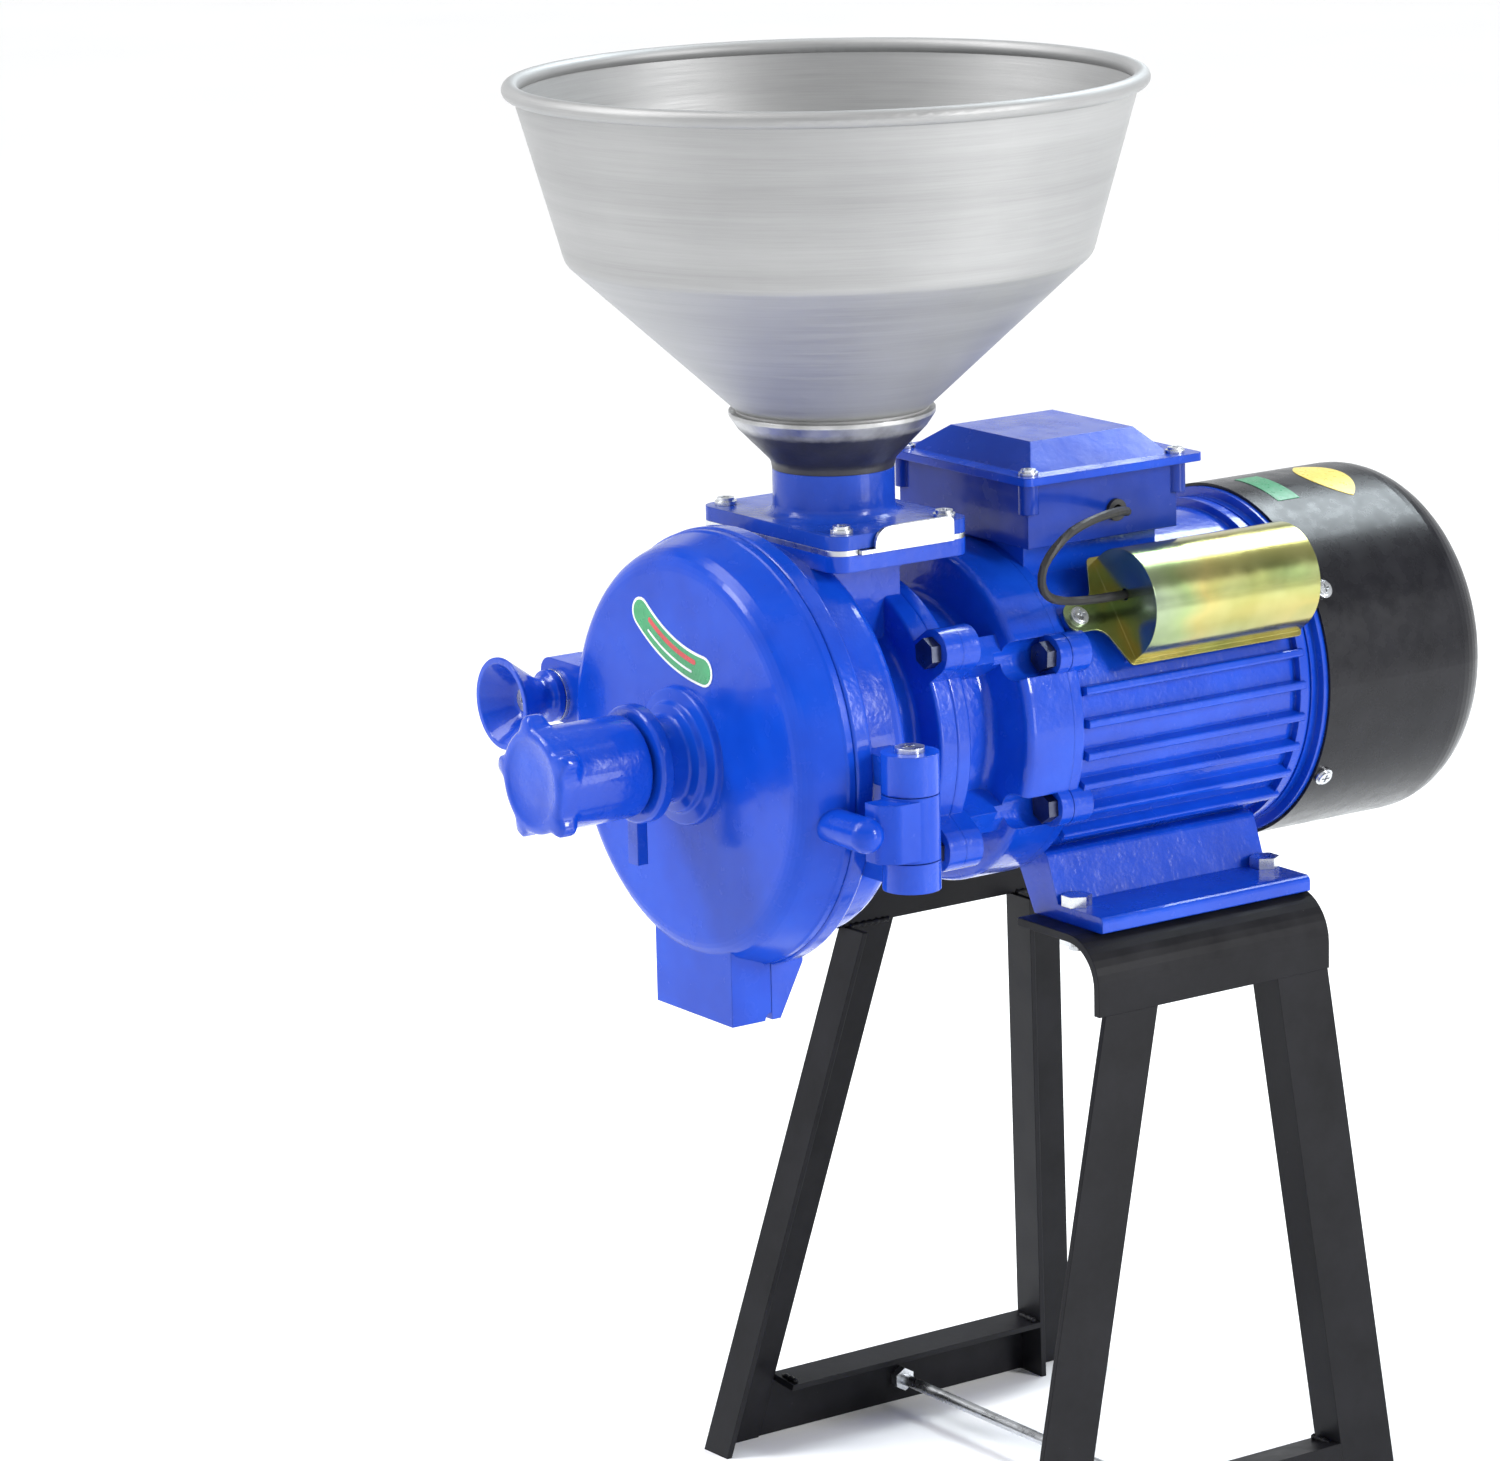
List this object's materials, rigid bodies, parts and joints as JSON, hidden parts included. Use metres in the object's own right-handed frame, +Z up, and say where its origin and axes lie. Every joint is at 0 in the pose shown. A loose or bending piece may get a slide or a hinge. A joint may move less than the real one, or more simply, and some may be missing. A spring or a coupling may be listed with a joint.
{
  "type": "grain mill",
  "caption": "Electric disc mill for grain with a round feed hopper, a hinged grinding door, a ribbed motor with capacitor and an angle-steel stand.",
  "frame": {"origin": "on the floor, at the middle of the machine's footprint box", "axes": "+Z up, -Y towards the handwheel and grinding door, +Y towards the fan cowl, +X towards the capacitor and the door's hinge"},
  "size_m": [0.306, 0.522, 0.7246],
  "materials": {
    "spun_aluminium": "satin",
    "dark_adaptor": "satin",
    "blue_paint": "gloss",
    "zinc": "satin",
    "black_rubber": "matt",
    "door_decal": "gloss",
    "ground_steel": "satin",
    "bare_iron": "rough",
    "lamination": "satin",
    "varnished_copper": "gloss",
    "governor_brass": "satin",
    "dark_bolts": "satin",
    "fan_plastic": "matt",
    "black_enamel": "satin",
    "cowl_decal": "gloss",
    "board_plastic": "gloss",
    "gland_plastic": "matt",
    "yellow_zinc": "iridescent",
    "capacitor_case": "gloss",
    "stand_enamel": "semi-gloss"
  },
  "bodies": {
    "machine": {"hopper": "spun_aluminium", "hopper_adaptor": "dark_adaptor", "feed_neck": "blue_paint", "gate_guide": "zinc", "neck_screws": "zinc", "mill_body": "blue_paint", "hinge_pin": "zinc", "shaft_seal": "black_rubber", "front_bearing": "ground_steel", "rear_bearing": "ground_steel", "stator_core": "lamination", "stator_windings": "varnished_copper", "front_endshield": "blue_paint", "motor_frame": "blue_paint", "rear_endshield": "blue_paint", "flange_bolts": "dark_bolts", "fan_cowl": "black_enamel", "cowl_labels": "cowl_decal", "cover_screws": "zinc", "terminal_box": "blue_paint", "box_lid": "blue_paint", "terminal_board": "board_plastic", "cable_gland": "gland_plastic", "lead_grommet": "black_rubber", "capacitor_lead": "black_rubber", "capacitor_cover": "yellow_zinc", "capacitor": "capacitor_case", "right_rail": "stand_enamel", "left_rail": "stand_enamel", "right_front_leg": "stand_enamel", "right_rear_leg": "stand_enamel", "left_front_leg": "stand_enamel", "left_rear_leg": "stand_enamel", "right_bar": "stand_enamel", "left_bar": "stand_enamel", "tie_rod": "zinc", "frame_nuts": "zinc", "foot_bolts": "zinc"},
    "rotor": {"motor_shaft": "ground_steel", "rotor_core": "lamination", "switch_governor": "governor_brass", "cooling_fan": "fan_plastic", "auger": "bare_iron", "disc_carrier": "bare_iron", "moving_disc": "bare_iron", "moving_disc_screws": "zinc", "shaft_nut": "zinc"},
    "door": {"door": "blue_paint", "door_seal": "black_rubber", "door_label": "door_decal"},
    "disc_holder": {"disc_holder": "bare_iron", "stationary_disc": "bare_iron", "stationary_disc_screws": "zinc"},
    "handwheel": {"handwheel": "blue_paint", "adjusting_screw": "ground_steel"},
    "lock_nut": {"lock_nut": "blue_paint"},
    "latch_washer": {"latch_washer": "zinc"},
    "latch_knob": {"latch_knob": "blue_paint", "latch_stud": "ground_steel"},
    "slide_gate": {"slide_gate": "zinc"}
  },
  "joints": [
    {"name": "rotor_spin", "type": "hinge", "parent": "machine", "child": "rotor", "pos_m": [0, -0.049, 0.408], "axis": [0, 1, 0], "continuous": true},
    {"name": "door_hinge", "type": "hinge", "parent": "machine", "child": "door", "pos_m": [0.122, -0.1306, 0.408], "axis": [0, 0, 1], "range_deg": [0, 150]},
    {"name": "disc_slide", "type": "slide", "parent": "door", "child": "disc_holder", "axis": [0, -1, 0], "range_m": [0, 0.004]},
    {"name": "handwheel_turn", "type": "hinge", "parent": "disc_holder", "child": "handwheel", "pos_m": [0, -0.229, 0.408], "axis": [0, -1, 0], "range_deg": [0, 720]},
    {"name": "lock_nut_turn", "type": "hinge", "parent": "door", "child": "lock_nut", "pos_m": [0, -0.202, 0.408], "axis": [0, -1, 0], "range_deg": [-40, 40]},
    {"name": "latch_slide", "type": "slide", "parent": "door", "child": "latch_washer", "axis": [0, -1, 0], "range_m": [0, 0.016]},
    {"name": "latch_turn", "type": "hinge", "parent": "latch_washer", "child": "latch_knob", "pos_m": [-0.124, -0.179, 0.415], "axis": [0, -1, 0], "range_deg": [0, 1440]},
    {"name": "gate_slide", "type": "slide", "parent": "machine", "child": "slide_gate", "axis": [1, 0, 0], "range_m": [0, 0.058]}
  ],
  "couplings": [
    {"joint": "disc_slide", "follows": "handwheel_turn", "m_per_rad": 0.00031831},
    {"joint": "latch_slide", "follows": "latch_turn", "m_per_rad": 0.00063661}
  ]
}
